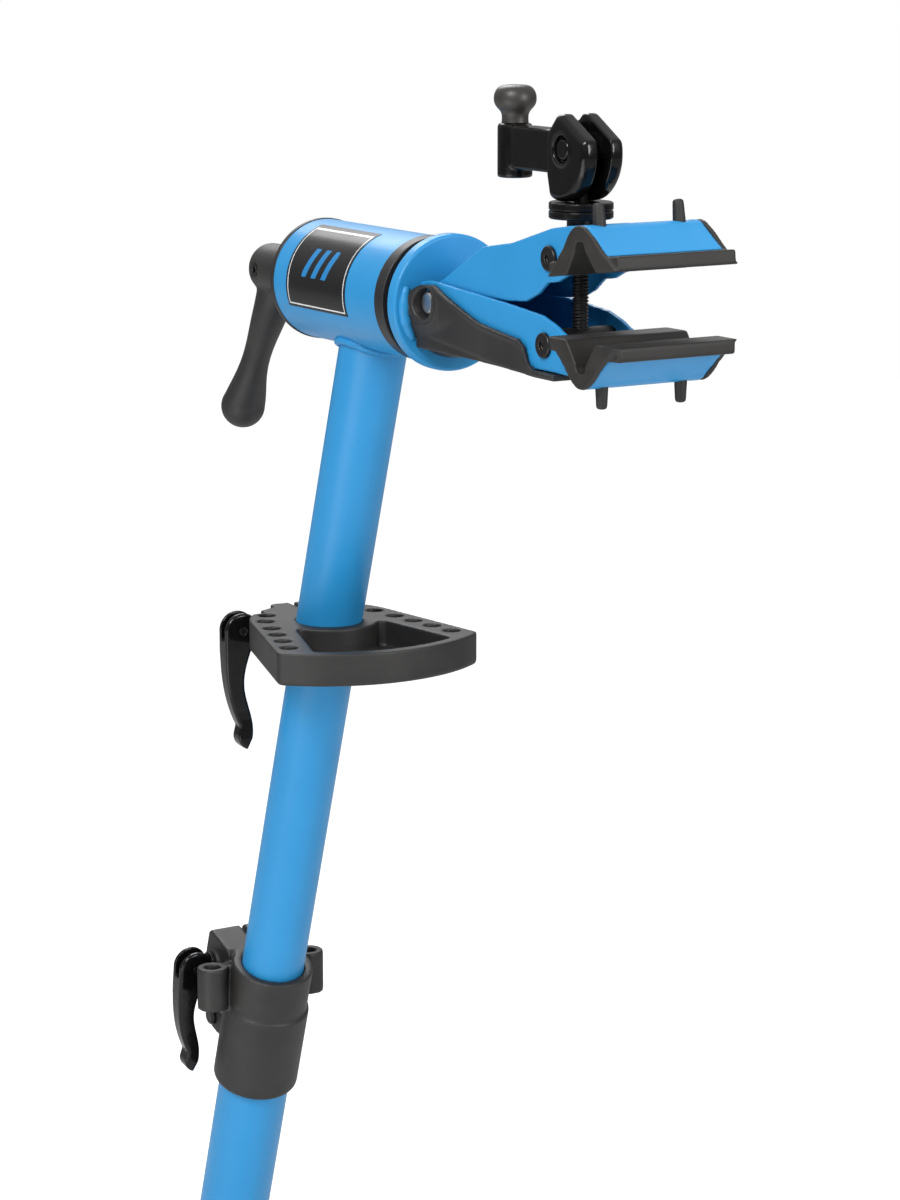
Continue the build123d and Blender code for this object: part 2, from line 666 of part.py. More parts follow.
with BuildPart() as cam_lever:
    with BuildSketch(cam_plane()):
        with BuildLine():
            # The cam's edge comes closer to the pin from its lowest point round to its front.
            edge = CenterArc((CAM_ARC_X, CAM_LOW + CAM_ARC_R), CAM_ARC_R, -112, 130)
            slope = Line(edge @ 1, (0, 18.8))
            crown = ThreePointArc(slope @ 1, (-4, 20), (-8, 18.5))
            Polyline(crown @ 1, (-17, 9), (-17.3, -15), edge @ 0)
        make_face()
    extrude(amount=EAR_OUT, both=True)
    sides = cam_lever.faces().filter_by(Axis.Y)
    chamfer(sides.edges(), 2.6)
    with BuildSketch(cam_plane()):
        with Locations((-CRANK_REACH / 2, -2.5)):
            RectangleRounded(CRANK_REACH - 16, CRANK_TALL, 3)
    extrude(amount=CRANK_HALF, both=True)
    with BuildSketch(crank_plane(CRANK_END_BOTTOM)) as crank_end:
        Circle(CRANK_END_R)
    end_block = extrude(crank_end.sketch, amount=KNOB_BOTTOM - 0.2 - CRANK_END_BOTTOM, mode=Mode.PRIVATE)
    end_rims = end_block.edges().filter_by(GeomType.CIRCLE).sort_by(Axis.Z)
    end_block = end_block.fillet(2, end_rims[-1:])
    end_rims = end_block.edges().filter_by(GeomType.CIRCLE).sort_by(Axis.Z)
    add(end_block.fillet(6, end_rims[:1]))
    with BuildSketch(cam_plane()):
        Polygon((-10.5, -40), (40, -40), (40, 40), (-10.5, 40), align=None)
    extrude(amount=EAR_GAP_HALF, both=True, mode=Mode.SUBTRACT)
    cross_hole(ROD_X, CAM_PIN_Z, CAM_PIN_R + RUN_GAP)
    for side in (-1, 1):
        with BuildSketch(cam_plane(side * EAR_OUT)):
            Circle(PIN_RECESS_R)
        extrude(amount=side * PIN_RECESS, mode=Mode.SUBTRACT)
    with BuildSketch(crank_plane(-8)):
        Circle(CAM_PIN_R)
    extrude(amount=30, mode=Mode.SUBTRACT)
save(cam_lever, "cam_lever")

with BuildPart() as cam_pin:
    under_head = EAR_OUT - PIN_RECESS + RUN_GAP
    cross_cylinder(ROD_X, CAM_PIN_Z, CAM_PIN_R, -under_head, under_head)
    cross_cylinder(ROD_X, CAM_PIN_Z, PIN_HEAD_R, -under_head - 2, -under_head)
    cross_cylinder(ROD_X, CAM_PIN_Z, PIN_HEAD_R, under_head, under_head + 2)
    rims = cam_pin.edges().group_by(Axis.Y)
    fillet(rims[0] + rims[-1], 1.5)
save(cam_pin, "cam_pin")

with BuildPart() as knob_screw:
    with BuildSketch(crank_plane(-8)):
        Circle(CAM_PIN_R)
    extrude(amount=30)
    with BuildSketch(crank_plane(22)):
        Circle(6)
    extrude(amount=4)
save(knob_screw, "knob_screw")

with BuildPart() as crank_knob:
    with BuildSketch(Plane(origin=crank_plane(0).origin, x_dir=(1, 0, 0), z_dir=(0, -1, 0))):
        with BuildLine():
            bore = Polyline((0, 26.4), (6.4, 26.4), (6.4, 21.6), (CAM_PIN_R + RUN_GAP, 21.6),
                            (CAM_PIN_R + RUN_GAP, KNOB_BOTTOM), (8.1, KNOB_BOTTOM))
            flank = Spline(bore @ 1, (8.4, 17), (12.75, 25.4), tangents=((-0.1, 1), (0, 1)))
            crown = Spline(flank @ 1, (10.5, 31.5), (0, 33.6), tangents=((0, 1), (-1, 0)))
            Line(crown @ 1, bore @ 0)
        make_face()
    revolve(axis=Axis(crank_plane(0).origin, (0, 0, 1)))
save(crank_knob, "crank_knob")

# ---------------------------------------------------------------- quick-release levers

# A quick release is drawn in a side view centred on its pivot pin: x outwards, y up its skewer's
# boss. The skewer runs inwards from the pin, through a washer and the split boss, to a nut.
QR_HEAD_R = 12.5
QR_HALF = 7.0
QR_SLOT_HALF = 3.3
QR_SLOT_LOW = -6.2
QR_EYE_R = 5.5
QR_PIN_R = 2.5
SKEWER_R = 3.0
QR_WASHER_R = 8.0
QR_WASHER_TALL = 2.9
QR_NUT_R = 7.5
QR_NUT_TALL = 11.0


def quick_release_view(pin, outward, up):
    """A quick release's side view, from where its pin is and which ways are outward and up."""
    return Plane(origin=pin, x_dir=outward, z_dir=outward.cross(up))


def lever_outline():
    """The S-curved thumb lever: round head, tapering arm, and a tip that flicks outwards."""
    with BuildSketch() as lever:
        Circle(QR_HEAD_R)
        with BuildLine():
            outer = Spline((12.4, 1), (12.3, -20.5), (10.3, -42), (2.2, -67))
            tip = ThreePointArc((3.2, -72), (1.5, -80.5), (-3, -83.5))
            inner = Spline((-6.8, -76), (-7, -64), (-1.3, -39), (-4.3, -20), (-12.4, -1))
            Line(outer @ 1, tip @ 0)
            Line(tip @ 1, inner @ 0)
            Line(inner @ 1, outer @ 0)
        make_face()
    return lever.sketch


LEVER = lever_outline()


def make_lever(view):
    """The lever, with a slot through its head for the skewer's eye."""
    with BuildPart() as lever:
        with BuildSketch(view):
            add(LEVER)
        extrude(amount=QR_HALF, both=True)
        chamfer(lever.faces().filter_by(view).edges(), 1.2)
        with BuildSketch(view):
            with Locations((0, QR_SLOT_LOW + 15)):
                Rectangle(3 * QR_HEAD_R, 30)
        extrude(amount=QR_SLOT_HALF, both=True, mode=Mode.SUBTRACT)
        with BuildSketch(view):
            Circle(QR_PIN_R + RUN_GAP)
        extrude(amount=QR_HALF, both=True, mode=Mode.SUBTRACT)
    return lever


def make_lever_pin(view):
    """The pin that the lever turns on."""
    with BuildPart() as pin:
        with BuildSketch(view):
            Circle(QR_PIN_R)
        extrude(amount=QR_HALF - 0.3, both=True)
    return pin


def make_lever_washer(view):
    """The washer that the lever's round head bears on."""
    with BuildPart() as washer:
        with BuildSketch(inward_plane(view, QR_HEAD_R + RUN_GAP)):
            Circle(QR_WASHER_R)
            Circle(SKEWER_R, mode=Mode.SUBTRACT)
        extrude(amount=QR_WASHER_TALL)
    return washer


def inward_plane(view, inward):
    """Square across the skewer, `inward` from the lever's pin, looking along the skewer."""
    return Plane(origin=view.origin - view.x_dir * inward, x_dir=view.z_dir, z_dir=-view.x_dir)


def make_skewer(view, length):
    """The skewer: an eye for the pin, then a rod that runs inwards."""
    with BuildPart() as skewer:
        with BuildSketch(view):
            Circle(QR_EYE_R)
        extrude(amount=QR_SLOT_HALF - 0.3, both=True)
        with BuildSketch(inward_plane(view, 0)):
            Circle(SKEWER_R - 0.1)
        extrude(amount=QR_EYE_R + 2)
        with BuildSketch(inward_plane(view, QR_EYE_R + 1)):
            Circle(SKEWER_R)
        extrude(amount=length - QR_EYE_R - 1)
        with BuildSketch(view):
            Circle(QR_PIN_R)
        extrude(amount=QR_HALF, both=True, mode=Mode.SUBTRACT)
    return skewer


def make_skewer_nut(view, inward):
    """The knurled nut on the skewer's far end."""
    with BuildPart() as nut:
        with BuildSketch(inward_plane(view, inward)):
            Circle(QR_NUT_R)
        extrude(amount=QR_NUT_TALL)
        far = nut.edges().filter_by(GeomType.CIRCLE).sort_by(Axis(view.origin, -view.x_dir))[-1]
        fillet(far, 2)
        with BuildSketch(inward_plane(view, inward + QR_NUT_TALL)):
            with PolarLocations(QR_NUT_R, 12):
                Circle(0.6)
        extrude(amount=-QR_NUT_TALL, mode=Mode.SUBTRACT)
        with BuildSketch(inward_plane(view, inward)):
            Circle(SKEWER_R)
        extrude(amount=QR_NUT_TALL - 3, mode=Mode.SUBTRACT)
    return nut


def save_quick_release(view, grip, group):
    """Write one quick release: `grip` is how wide its boss is, between washer and nut."""
    nut_at = QR_HEAD_R + RUN_GAP + QR_WASHER_TALL + grip
    save(make_lever(view), f"{group}_lever")
    save(make_lever_pin(view), f"{group}_lever_pin")
    save(make_lever_washer(view), f"{group}_lever_washer")
    save(make_skewer(view, nut_at + QR_NUT_TALL - 3), f"{group}_skewer")
    save(make_skewer_nut(view, nut_at), f"{group}_skewer_nut")


# ---------------------------------------------------------------- tool tray

TRAY_REAR_R = 52.0              # round rear end, and how far its centre is behind the mast's axis
TRAY_REAR_X = -5.0
TRAY_FRONT_ANGLE = 42.5         # half the front arc, degrees
TRAY_FLOOR = 4.0
TRAY_HUB_R = 33.0
TRAY_LUG_X = -64.0
TRAY_BOSS_Y = 30.0
TRAY_SKEWER_X = -48.7
TRAY_SKEWER_DROP = 12.4
TOOL_HOLE_R = 5.8
TOOL_HOLE_INSET = 10.5
TOOL_HOLE_X = (-31.0, -14.0, 8.0, 27.5, 47.0, 67.0)
TRAY_SPLIT_HALF = 2.0
TRAY_FLAT_X = -39.5             # the rim is cut flat behind here, for the washer and the nut

tray_x = Vector(cos(radians(TRAY_YAW)), sin(radians(TRAY_YAW)), 0)
tray_y = Vector(-sin(radians(TRAY_YAW)), cos(radians(TRAY_YAW)), 0)
tray_centre = HEAD + Vector(TRAY_TOP * tan(LEAN), 0, TRAY_TOP)
side_angle = radians(90 + 12.9)  # where the tray's straight sides leave its round rear end


def tray_plane(down=0.0):
    """Level, `down` from the tray's top, centred where the mast's axis meets that top."""
    return Plane(origin=tray_centre - Vector(0, 0, down), x_dir=tray_x, z_dir=(0, 0, 1))


def rim_point(forward, inset):
    """A point on the tray's left rim, moved in by `inset`."""
    radius = TRAY_REAR_R - inset
    leave_x = TRAY_REAR_X + radius * cos(side_angle)
    leave_y = radius * sin(side_angle)
    if forward < leave_x:
        return forward, sqrt(radius ** 2 - (forward - TRAY_REAR_X) ** 2)
    return forward, leave_y - (forward - leave_x) / tan(side_angle)


corner_x = TRAY_R * cos(radians(TRAY_FRONT_ANGLE))
corner_left = rim_point(corner_x, 0)
corner_right = (corner_x, -corner_left[1])
leave_left = rim_point(TRAY_REAR_X + TRAY_REAR_R * cos(side_angle), 0)
leave_right = (leave_left[0], -leave_left[1])

with BuildPart() as tool_tray:
    with BuildSketch(tray_plane(TRAY_HEIGHT)) as tray_outline:
        with BuildLine():
            front = ThreePointArc(corner_right, (TRAY_R, 0), corner_left)
            left = Line(front @ 1, leave_left)
            rear = ThreePointArc(left @ 1, (TRAY_REAR_X - TRAY_REAR_R, 0), leave_right)
            Line(rear @ 1, front @ 0)
        make_face()
        fillet(tray_outline.vertices().group_by(Axis.X)[-1], 6)
    extrude(amount=TRAY_HEIGHT)
    fillet(tool_tray.edges().group_by(Axis.Z)[0], 3)
    with BuildSketch(tray_plane(TRAY_HEIGHT)):
        with Locations((TRAY_LUG_X + 12, 0)):
            RectangleRounded(24, 34, 4)
    extrude(amount=TRAY_HEIGHT)
    with BuildSketch(Plane(origin=tray_plane(TRAY_SKEWER_DROP).origin + tray_x * TRAY_SKEWER_X,
                           x_dir=tray_x, z_dir=-tray_y)):
        Circle(9)
    extrude(amount=TRAY_BOSS_Y, both=True)
    with BuildSketch(tray_plane(TRAY_HEIGHT)):
        with Locations((TRAY_FLAT_X - 15, TRAY_BOSS_Y + 15), (TRAY_FLAT_X - 15, -TRAY_BOSS_Y - 15)):
            Rectangle(30, 30)
    extrude(amount=TRAY_HEIGHT, mode=Mode.SUBTRACT)
    with BuildSketch(tray_plane(TRAY_HEIGHT - TRAY_FLOOR)) as pocket:
        Polygon((9, -30), (110, -55.6), (110, 55.6), (9, 30), align=None)
        Circle(TRAY_R - 8, mode=Mode.INTERSECT)
        Circle(TRAY_HUB_R, mode=Mode.SUBTRACT)
        fillet(pocket.vertices(), 4)
    extrude(amount=TRAY_HEIGHT, mode=Mode.SUBTRACT)
    hole_spots = [rim_point(forward, TOOL_HOLE_INSET) for forward in TOOL_HOLE_X]
    with BuildSketch(tray_plane()):
        with Locations(*hole_spots, *[(forward, -sideways) for forward, sideways in hole_spots]):
            Circle(TOOL_HOLE_R)
    extrude(amount=-TRAY_HEIGHT, mode=Mode.SUBTRACT)
    with BuildSketch(tray_plane(TRAY_HEIGHT)):
        with Locations((TRAY_LUG_X / 2 - 8, 0)):
            Rectangle(-TRAY_LUG_X, 2 * TRAY_SPLIT_HALF)
    extrude(amount=TRAY_HEIGHT, mode=Mode.SUBTRACT)
    with BuildSketch(mast_plane(-TRAY_TOP / cos(LEAN))):
        Circle(UPPER_TUBE_R + RUN_GAP)
    extrude(amount=60, both=True, mode=Mode.SUBTRACT)
    with BuildSketch(Plane(origin=tray_plane(TRAY_SKEWER_DROP).origin + tray_x * TRAY_SKEWER_X,
                           x_dir=tray_x, z_dir=-tray_y)):
        Circle(SKEWER_R + RUN_GAP)
    extrude(amount=TRAY_BOSS_Y + 1, both=True, mode=Mode.SUBTRACT)
save(tool_tray, "tool_tray")

lever_offset = TRAY_BOSS_Y + QR_WASHER_TALL + RUN_GAP + QR_HEAD_R
tray_pin = tray_plane(TRAY_SKEWER_DROP).origin + tray_x * TRAY_SKEWER_X - tray_y * lever_offset
save_quick_release(quick_release_view(tray_pin, -tray_y, Vector(0, 0, 1)), 2 * TRAY_BOSS_Y, "tray")

# ---------------------------------------------------------------- height collar

COLLAR_SLEEVE_R = 28.8
COLLAR_RING_R = 30.6
COLLAR_SPLIT_HALF = 1.5
COLLAR_LUG_X = -52.0
COLLAR_BOSS_Y = 27.5
COLLAR_SKEWER_DOWN = 544.0
COLLAR_SKEWER_X = -39.0
COLLAR_LEVER_TILT = 9.0         # degrees, the closed lever leans towards the mast's line
TAB_SCREW_DOWN = 590.0
TAB_SCREW_X = -36.0
TAB_Y = 22.0
SIDE_LUG_X = -181.5             # side lugs with upright holes, from the head centre
SIDE_LUG_Y = 38.8
SIDE_LUG_TOP = -500.0
SIDE_LUG_HEIGHT = 31.0
SIDE_LUG_R = 11.0
SIDE_LUG_HOLE_R = 5.75
SIDE_LUG_ARM = 5.0


def across_mast(down, forward):
    """Upright, across the mast: looking towards -Y, x forward and y up along the mast."""
    return Plane(origin=HEAD - MAST_UP * down + MAST_FORWARD * forward, x_dir=MAST_FORWARD,
                 z_dir=(0, -1, 0))


with BuildPart() as height_collar:
    with BuildSketch(mast_plane(COLLAR_BOTTOM)):
        Circle(COLLAR_RING_R)
    extrude(amount=COLLAR_BOTTOM - COLLAR_STEP)
    fillet(height_collar.edges().filter_by(GeomType.CIRCLE).group_by(Axis.Z)[0], 4)
    with BuildSketch(mast_plane(COLLAR_STEP)):
        Circle(COLLAR_SLEEVE_R)
    extrude(amount=COLLAR_STEP - COLLAR_TOP)
    with BuildSketch(across_mast(COLLAR_TOP + 17, (COLLAR_LUG_X - 22) / 2)):
        RectangleRounded(-COLLAR_LUG_X - 22 + 4, 34, 5)
    extrude(amount=25, both=True)
    with BuildSketch(across_mast(COLLAR_SKEWER_DOWN, COLLAR_SKEWER_X)):
        Circle(9)
    extrude(amount=COLLAR_BOSS_Y, both=True)
    with BuildSketch(across_mast(TAB_SCREW_DOWN, TAB_SCREW_X + 4)):
        RectangleRounded(22, 18, 5)
    extrude(amount=TAB_Y, both=True)
    with BuildSketch(level_plane(SIDE_LUG_TOP - SIDE_LUG_HEIGHT, SIDE_LUG_X)):
        SlotCenterToCenter(2 * SIDE_LUG_Y, 2 * SIDE_LUG_ARM, rotation=90)
        with Locations((0, SIDE_LUG_Y), (0, -SIDE_LUG_Y)):
            Circle(SIDE_LUG_R)
    extrude(amount=SIDE_LUG_HEIGHT)
    with BuildSketch(level_plane(SIDE_LUG_TOP - SIDE_LUG_HEIGHT, SIDE_LUG_X)):
        with Locations((0, SIDE_LUG_Y), (0, -SIDE_LUG_Y)):
            Circle(SIDE_LUG_HOLE_R)
    extrude(amount=SIDE_LUG_HEIGHT, mode=Mode.SUBTRACT)
    with BuildSketch(mast_plane(COLLAR_BOTTOM)):
        Circle(LOWER_TUBE_R)
    extrude(amount=COLLAR_BOTTOM - COLLAR_STEP, mode=Mode.SUBTRACT)
    with BuildSketch(mast_plane(COLLAR_BOTTOM)):
        Circle(UPPER_TUBE_R + RUN_GAP)
    extrude(amount=COLLAR_BOTTOM - COLLAR_TOP + 40, mode=Mode.SUBTRACT)
    with BuildSketch(mast_plane(COLLAR_BOTTOM)):
        with Locations((-40, 0)):
            Rectangle(40, 2 * COLLAR_SPLIT_HALF)
    extrude(amount=COLLAR_BOTTOM - COLLAR_TOP + 5, mode=Mode.SUBTRACT)
    with BuildSketch(across_mast(COLLAR_SKEWER_DOWN, COLLAR_SKEWER_X)):
        Circle(SKEWER_R + RUN_GAP)
    extrude(amount=COLLAR_BOSS_Y + 1, both=True, mode=Mode.SUBTRACT)
    with BuildSketch(across_mast(TAB_SCREW_DOWN, TAB_SCREW_X)):
        Circle(SKEWER_R + RUN_GAP)
    extrude(amount=TAB_Y + 1, both=True, mode=Mode.SUBTRACT)
save(height_collar, "height_collar")

collar_offset = COLLAR_BOSS_Y + QR_WASHER_TALL + RUN_GAP + QR_HEAD_R
collar_pin = across_mast(COLLAR_SKEWER_DOWN, COLLAR_SKEWER_X).origin - SIDEWAYS * collar_offset
tilt = radians(COLLAR_LEVER_TILT)
collar_view = quick_release_view(collar_pin, -SIDEWAYS, Vector(sin(tilt), 0, cos(tilt)))
save_quick_release(collar_view, 2 * COLLAR_BOSS_Y, "collar")


def tab_plane(sideways):
    """Square across the collar's clamp screw, looking towards -Y."""
    view = across_mast(TAB_SCREW_DOWN, TAB_SCREW_X)
    return Plane(origin=view.origin + SIDEWAYS * sideways, x_dir=view.x_dir, z_dir=view.z_dir)


with BuildPart() as clamp_screw:
    with BuildSketch(tab_plane(TAB_Y + 7)):
        Circle(SKEWER_R)
    extrude(amount=2 * TAB_Y + 7)
    with BuildSketch(tab_plane(-TAB_Y)):
        Circle(6.5)
    extrude(amount=3)
    fillet(clamp_screw.edges().group_by(Axis.Y)[0], 2)
save(clamp_screw, "collar_clamp_screw")

with BuildPart() as clamp_nut:
    with BuildSketch(tab_plane(TAB_Y + 5)):
        RegularPolygon(6.5, 6)
        Circle(SKEWER_R, mode=Mode.SUBTRACT)
    extrude(amount=5)
save(clamp_nut, "collar_clamp_nut")

# ---------------------------------------------------------------- legs

HUB_LENGTH = 80.0
HUB_R = 31.0
CLEVIS_GAP_HALF = LEG_R + 0.5
CLEVIS_THICK = 4.0
CLEVIS_R = 15.0
LEG_PIN_R = 5.0
LEG_DROOP = 5.5721              # degrees below square to the mast, so that the feet meet the floor
LEG_WALL = 2.0
LEG_TUBE_END = LEG_LENGTH - 46
BOOT_LENGTH = 100.0
BOOT_R = 18.0
HUB_SCREW_SPACING = 44.0

hub_centre = HEAD - MAST_UP * (MAST_LENGTH - HUB_UP)


def leg_view(side):
    """A leg's own side view from its pivot: x away from the mast, y up along the mast."""
    azimuth = radians(LEG_AZIMUTH) * side
    outward = MAST_FORWARD * cos(azimuth) + SIDEWAYS * sin(azimuth)
    return Plane(origin=hub_centre + outward * LEG_PIVOT_R, x_dir=outward, z_dir=outward.cross(MAST_UP))


def leg_direction(side):
    """Which way a leg points when it stands."""
    view = leg_view(side)
    droop = radians(LEG_DROOP)
    return view.x_dir * cos(droop) - MAST_UP * sin(droop)


def leg_plane(side, along):
    """Square across a leg, `along` it from its pivot, looking towards its foot."""
    view = leg_view(side)
    return Plane(origin=view.origin + leg_direction(side) * along, x_dir=view.z_dir,
                 z_dir=leg_direction(side))


with BuildPart() as leg_hub:
    with BuildSketch(mast_plane(MAST_LENGTH - HUB_UP + HUB_LENGTH / 2)):
        Circle(HUB_R)
    extrude(amount=HUB_LENGTH)
    chamfer(leg_hub.edges().filter_by(GeomType.CIRCLE), 2)
    for leg_side in (-1, 1):
        with BuildSketch(leg_view(leg_side)):
            Circle(CLEVIS_R)
            with Locations((-LEG_PIVOT_R / 2 + 6, 0)):
                Rectangle(LEG_PIVOT_R - 12, 2 * CLEVIS_R)
        extrude(amount=CLEVIS_GAP_HALF + CLEVIS_THICK, both=True)
    for leg_side in (-1, 1):
        with BuildSketch(leg_view(leg_side)):
            with Locations((8, 0)):
                Rectangle(2 * CLEVIS_R + 16, 2 * CLEVIS_R + 2)
        extrude(amount=CLEVIS_GAP_HALF, both=True, mode=Mode.SUBTRACT)
        with BuildSketch(leg_view(leg_side)):
            Circle(LEG_PIN_R)
        extrude(amount=CLEVIS_GAP_HALF + CLEVIS_THICK + 1, both=True, mode=Mode.SUBTRACT)
    with BuildSketch(mast_plane(MAST_LENGTH - HUB_UP + HUB_LENGTH / 2 + 1)):
        Circle(LOWER_TUBE_R)
    extrude(amount=HUB_LENGTH + 2, mode=Mode.SUBTRACT)
    with BuildSketch(Plane(origin=hub_centre, x_dir=(0, 1, 0), z_dir=-MAST_FORWARD)):
        with Locations((0, HUB_SCREW_SPACING / 2), (0, -HUB_SCREW_SPACING / 2)):
            Circle(3)
    extrude(amount=HUB_R + 1, mode=Mode.SUBTRACT)
save(leg_hub, "leg_hub")

with BuildPart() as hub_screws:
    with BuildSketch(Plane(origin=hub_centre - MAST_FORWARD * LOWER_TUBE_R, x_dir=(0, 1, 0),
                           z_dir=-MAST_FORWARD)):
        with Locations((0, HUB_SCREW_SPACING / 2), (0, -HUB_SCREW_SPACING / 2)):
            Circle(3)
    extrude(amount=HUB_R - LOWER_TUBE_R + 1)
    with BuildSketch(Plane(origin=hub_centre - MAST_FORWARD * HUB_R, x_dir=(0, 1, 0),
                           z_dir=-MAST_FORWARD)):
        with Locations((0, HUB_SCREW_SPACING / 2), (0, -HUB_SCREW_SPACING / 2)):
            Circle(5.5)
    extrude(amount=3.5)
save(hub_screws, "leg_hub_screws")

with BuildPart() as leg_bolts:
    for leg_side in (-1, 1):
        outer = CLEVIS_GAP_HALF + CLEVIS_THICK
        view = leg_view(leg_side)
        with BuildSketch(view):
            Circle(LEG_PIN_R)
        extrude(amount=outer, both=True)
        for end in (-1, 1):
            with BuildSketch(Plane(origin=view.origin + view.z_dir * end * outer, x_dir=view.x_dir,
                                   z_dir=view.z_dir * end)):
                RegularPolygon(8, 6)
            extrude(amount=5)
save(leg_bolts, "leg_pivot_bolts")


def make_leg(side):
    """One tubular leg: a solid root, rounded about its pivot bolt, then a hollow tube."""
    with BuildPart() as leg:
        with BuildSketch(leg_plane(side, 0)):
            Circle(LEG_R)
        extrude(amount=LEG_TUBE_END)
        with BuildSketch(leg_view(side)):
            Circle(LEG_R)
        extrude(amount=LEG_R - 1, both=True)
        with BuildSketch(leg_plane(side, 2 * LEG_R)):
            Circle(LEG_R - LEG_WALL)
        extrude(amount=LEG_TUBE_END, mode=Mode.SUBTRACT)
        with BuildSketch(leg_view(side)):
            Circle(LEG_PIN_R + RUN_GAP)
        extrude(amount=LEG_R + 1, both=True, mode=Mode.SUBTRACT)
    return leg


def make_foot(side):
    """A rubber boot on the leg's end, cut flat where it stands on the floor."""
    with BuildPart() as foot:
        with BuildSketch(leg_plane(side, LEG_LENGTH + 8 - BOOT_LENGTH)):
            Circle(BOOT_R)
        extrude(amount=BOOT_LENGTH)
        chamfer(foot.edges().filter_by(GeomType.CIRCLE), 2.5)
        with BuildSketch(leg_plane(side, LEG_TUBE_END)):
            Circle(LEG_R)
        extrude(amount=-BOOT_LENGTH, mode=Mode.SUBTRACT)
        split(bisect_by=Plane.XY, keep=Keep.TOP)
    return foot


for leg_side, hand in ((1, "left"), (-1, "right")):
    save(make_leg(leg_side), f"{hand}_leg")
    save(make_foot(leg_side), f"{hand}_foot")
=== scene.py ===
import json
from math import cos, pi, sin, sqrt

import bmesh
import bpy
import numpy as np
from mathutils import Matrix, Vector


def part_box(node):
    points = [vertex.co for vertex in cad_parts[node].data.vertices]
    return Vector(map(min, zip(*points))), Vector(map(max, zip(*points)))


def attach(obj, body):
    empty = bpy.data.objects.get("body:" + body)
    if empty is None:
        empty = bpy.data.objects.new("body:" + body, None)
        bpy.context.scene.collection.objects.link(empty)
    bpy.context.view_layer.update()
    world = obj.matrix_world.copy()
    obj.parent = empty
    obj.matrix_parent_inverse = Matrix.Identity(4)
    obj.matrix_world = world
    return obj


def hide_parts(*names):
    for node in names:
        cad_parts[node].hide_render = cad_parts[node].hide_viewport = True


# The looks of the bike repair stand: mouldings and castings softened from their CAD solids, a real
# thread on the clamping rod, weld beads, and node-based finishes. Lengths are metres.

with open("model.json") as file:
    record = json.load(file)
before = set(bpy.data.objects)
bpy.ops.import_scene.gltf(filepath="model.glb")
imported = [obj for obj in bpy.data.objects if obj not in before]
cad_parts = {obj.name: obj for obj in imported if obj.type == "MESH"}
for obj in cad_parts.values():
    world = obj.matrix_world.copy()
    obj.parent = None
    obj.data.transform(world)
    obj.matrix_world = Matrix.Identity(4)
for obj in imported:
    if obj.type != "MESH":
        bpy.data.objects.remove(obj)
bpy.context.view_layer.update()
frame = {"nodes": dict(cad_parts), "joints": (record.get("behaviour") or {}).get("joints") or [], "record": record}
nodes = frame["nodes"]
joints = {joint["name"]: joint for joint in frame["joints"]}
bodies = frame["record"]["behaviour"]["bodies"]
body_of = {node: body for body, members in bodies.items() for node in members}
slot_of = {entry["node"]: entry["material_slot"] for entry in frame["record"]["subparts"]}

MM = 0.001
HEAD = Vector(joints["clamp_rotation"]["pos_m"])
MAST_UP = Vector(joints["height_slide"]["axis"])
SIDEWAYS = Vector((0, 1, 0))
MAST_FORWARD = SIDEWAYS.cross(MAST_UP)
JAW_PIVOT = Vector(joints["jaw_swing"]["pos_m"])
CAM_PIN = Vector(joints["cam_flip"]["pos_m"])


def node_size(name):
    """A CAD node's box size."""
    low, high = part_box(name)
    return high - low


HEAD_R = node_size("head_tube").y / 2
MAST_R = node_size("upper_mast").y / 2
BEAD_SIDES = 10                 # a weld bead's section has this many sides
VIEW = Vector((-0.839, 0.504, -0.206))          # the way the camera looks
CAMERA = HEAD + Vector((1.7948, -1.0280, 0.2315))


# ---------------------------------------------------------------- finishes


